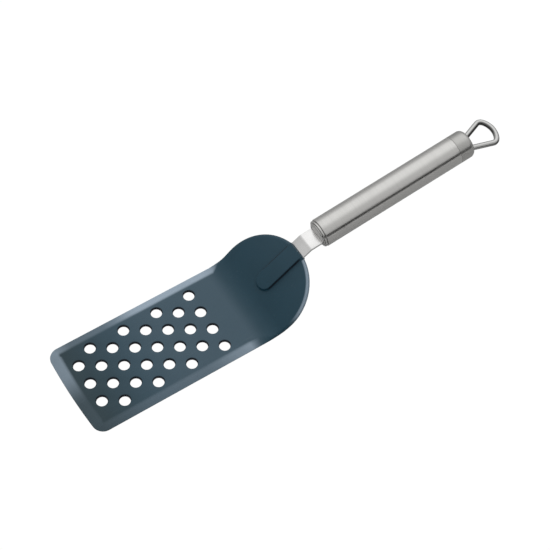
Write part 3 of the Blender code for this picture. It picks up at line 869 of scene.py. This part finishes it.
def painted_wire_shade(point, outward):
    """Painted shade on the wire: along its inner side, and on one outer corner."""
    inner = eased(-outward, 0.15, 0.65) * eased(point.y, -0.008, -0.002)
    corner = eased(point.x, 0.010, 0.015) * eased(-point.y, 0.001, 0.006)
    return max(inner, eased(outward, 0.55, 0.95) * corner)


def wire_mesh():
    """A round wire swept along its centre line, in the loop's own plane."""
    path = loop_centre_line()
    bm = bmesh.new()
    wear_and_painted_light = bm.verts.layers.float.new("wear_and_painted_light")
    rings = []
    for i, point in enumerate(path):
        before, after = path[max(i - 1, 0)], path[min(i + 1, len(path) - 1)]
        along = (after - before).normalized()
        across = Vector((-along.y, along.x, 0))
        ring = []
        for u, v in arc((0, 0), WIRE_RADIUS, 0, 360, WIRE_SIDES)[:-1]:
            ring.append(bm.verts.new(Vector((point.x, point.y, v)) + across * u))
            ring[-1][wear_and_painted_light] = painted_wire_shade(point, u / WIRE_RADIUS)
        rings.append(ring)
    for first, second in zip(rings, rings[1:]):
        bridge(bm, first, second)
    bm.faces.new(rings[0])
    bm.faces.new(reversed(rings[-1]))
    return finished(bm, "wire_loop")


wire_steel = tumbled_material("wire_steel", (0.52, 0.52, 0.51), 0.13)
loop = add_piece("wire_loop", wire_mesh(), wire_steel, loop_frame)
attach(loop, "root")
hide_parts("hang_loop")


# ---------------------------------------------------------------- inside the handle
# A moulded core that centres the tang, a steel sleeve behind the seam and the plate that the loop
# is welded to. All three are shut in, so they keep their plain machined and moulded finishes.
CORE_DARK = (0.10, 0.10, 0.10, 1)
CORE_LIGHT = (0.15, 0.15, 0.145, 1)


def core_material():
    """Dark unpolished nylon with an uneven moulded skin."""
    material, start = new_material("core_nylon", {})
    cloud = noise(start, object_place(start), 300, 3.0)
    mixed(start, cloud, CORE_DARK, CORE_LIGHT).feed("Base Color")
    (0.5 + 0.2 * cloud).feed("Roughness")
    return material


core_nylon = core_material()
plain_steel = tumbled_material("plain_steel", (0.52, 0.52, 0.51), 0.42)
shut_in = {"tang_core": core_nylon, "joint_sleeve": plain_steel, "loop_anchor": plain_steel}
for name, material in shut_in.items():
    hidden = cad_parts[name]
    hidden.data.materials.clear()
    hidden.data.materials.append(material)


# ---------------------------------------------------------------- table, light and camera
# A plain white light table, a soft white tent with a brighter panel overhead and one beside it,
# and a darker strip low on the near side that draws the line along the handle.
FLOOR_SIZE = 12.0
TOP_DROP = 0.0004
BOARD_DROP = 0.0005
TOP_GLOW = 1.02
BOARD_WHITE = 0.56
TENT_SEEN = 1.05


def table_sheet(name, colour, glow, drop):
    """A level sheet of the table: its shade of grey, how it glows and how far down it lies."""
    mesh = bpy.data.meshes.new(name)
    half = FLOOR_SIZE / 2
    corners = [(-half, -half), (half, -half), (half, half), (-half, half)]
    mesh.from_pydata([(x, y, -drop) for x, y in corners], [], [(0, 1, 2, 3)])
    sockets = {"Roughness": 0.9, "Specular IOR Level": 0.0, "Base Color": (colour, colour, colour, 1)}
    sockets.update({"Emission Color": (1, 1, 1, 1), "Emission Strength": glow})
    mesh.materials.append(new_material(name, sockets)[0])
    sheet = bpy.data.objects.new(name, mesh)
    bpy.context.collection.objects.link(sheet)
    return sheet


def light_table():
    """A glowing top that is seen, over a plain white board that lights and shades the object."""
    top = table_sheet("glowing_top", 0.0, TOP_GLOW, TOP_DROP)
    top.visible_diffuse = False
    top.visible_glossy = False
    top.visible_shadow = False
    board = table_sheet("white_board", BOARD_WHITE, 0.0, BOARD_DROP)
    board.visible_camera = False


def panel(start, direction, towards, core, edge):
    """A soft-edged patch of the tent: 1 within core degrees of a direction, 0 beyond edge."""
    values = {0: direction, 1: Vector(towards).normalized()}
    along = start.node("ShaderNodeVectorMath", {"operation": "DOT_PRODUCT"}, values, "Value")
    return faded(start, along, math.cos(math.radians(edge)), math.cos(math.radians(core)))


def tent():
    """The tent's brightness from every side, and an even white where the tent itself is seen."""
    world = bpy.data.worlds.new("tent")
    world.use_nodes = True
    bpy.context.scene.world = world
    background = world.node_tree.nodes["Background"]
    start = Wire(background.outputs[0])
    direction = start.node("ShaderNodeTexCoord", {}, {}, "Generated")
    side = panel(start, direction, (0.24, 0.85, 0.46), 6, 22)
    top = panel(start, direction, (0.33, 0.40, 0.855), 8, 45)
    shade = panel(start, direction, (-0.85, 0.35, 0.45), 25, 65)
    level = start.node("ShaderNodeSeparateXYZ", {}, {"Vector": direction}, "Z")
    across = start.node("ShaderNodeSeparateXYZ", {}, {"Vector": direction}, "Y")
    overhead = faded(start, level, 0.10, 0.70)
    near = 1 - faded(start, across, -0.80, 0.30)
    band = (1 - faded(start, level, 0.40, 0.46)) * faded(start, level, 0.02, 0.12)
    band_near = 1 - faded(start, across, -0.50, -0.25)
    strength = 0.62 + 0.28 * overhead + 0.08 * side + 0.42 * top
    strength = strength * (1 - 0.19 * shade) * (1 - 0.18 * near)
    horizon = (1 - faded(start, level, 0.06, 0.16)) * band_near
    strength = strength * (1 - 0.97 * band * band_near) + 0.32 * horizon
    seen = start.node("ShaderNodeLightPath", {}, {}, "Is Camera Ray")
    total = strength * (1 - seen) + TENT_SEEN * seen
    world.node_tree.links.new(total.socket, background.inputs["Strength"])
    background.inputs["Color"].default_value = (1, 1, 1, 1)


CAMERA_PLACE = Vector((-0.21822, -0.41585, 0.85017))
CAMERA_LENS = 102.1
CAMERA_AZIMUTH = math.radians(-36.785)
CAMERA_HEIGHT = math.radians(58.204)
CAMERA_ROLL = math.radians(4.106)


def add_camera():
    """A long lens that looks down on the near side, slightly rolled."""
    flat = math.cos(CAMERA_HEIGHT)
    back = Vector((
        math.sin(CAMERA_AZIMUTH) * flat, -math.cos(CAMERA_AZIMUTH) * flat, math.sin(CAMERA_HEIGHT)))
    right = Vector((math.cos(CAMERA_AZIMUTH), math.sin(CAMERA_AZIMUTH), 0))
    up = back.cross(right)
    turned_right = right * math.cos(CAMERA_ROLL) + up * math.sin(CAMERA_ROLL)
    turned_up = up * math.cos(CAMERA_ROLL) - right * math.sin(CAMERA_ROLL)
    camera = bpy.data.objects.new("camera", bpy.data.cameras.new("camera"))
    bpy.context.collection.objects.link(camera)
    camera.data.lens = CAMERA_LENS
    camera.data.sensor_width = 36.0
    turn = Matrix((turned_right, turned_up, back)).transposed()
    camera.matrix_world = Matrix.Translation(CAMERA_PLACE) @ turn.to_4x4()
    bpy.context.scene.camera = camera


light_table()
tent()
add_camera()
bpy.context.scene.view_settings.view_transform = "Standard"
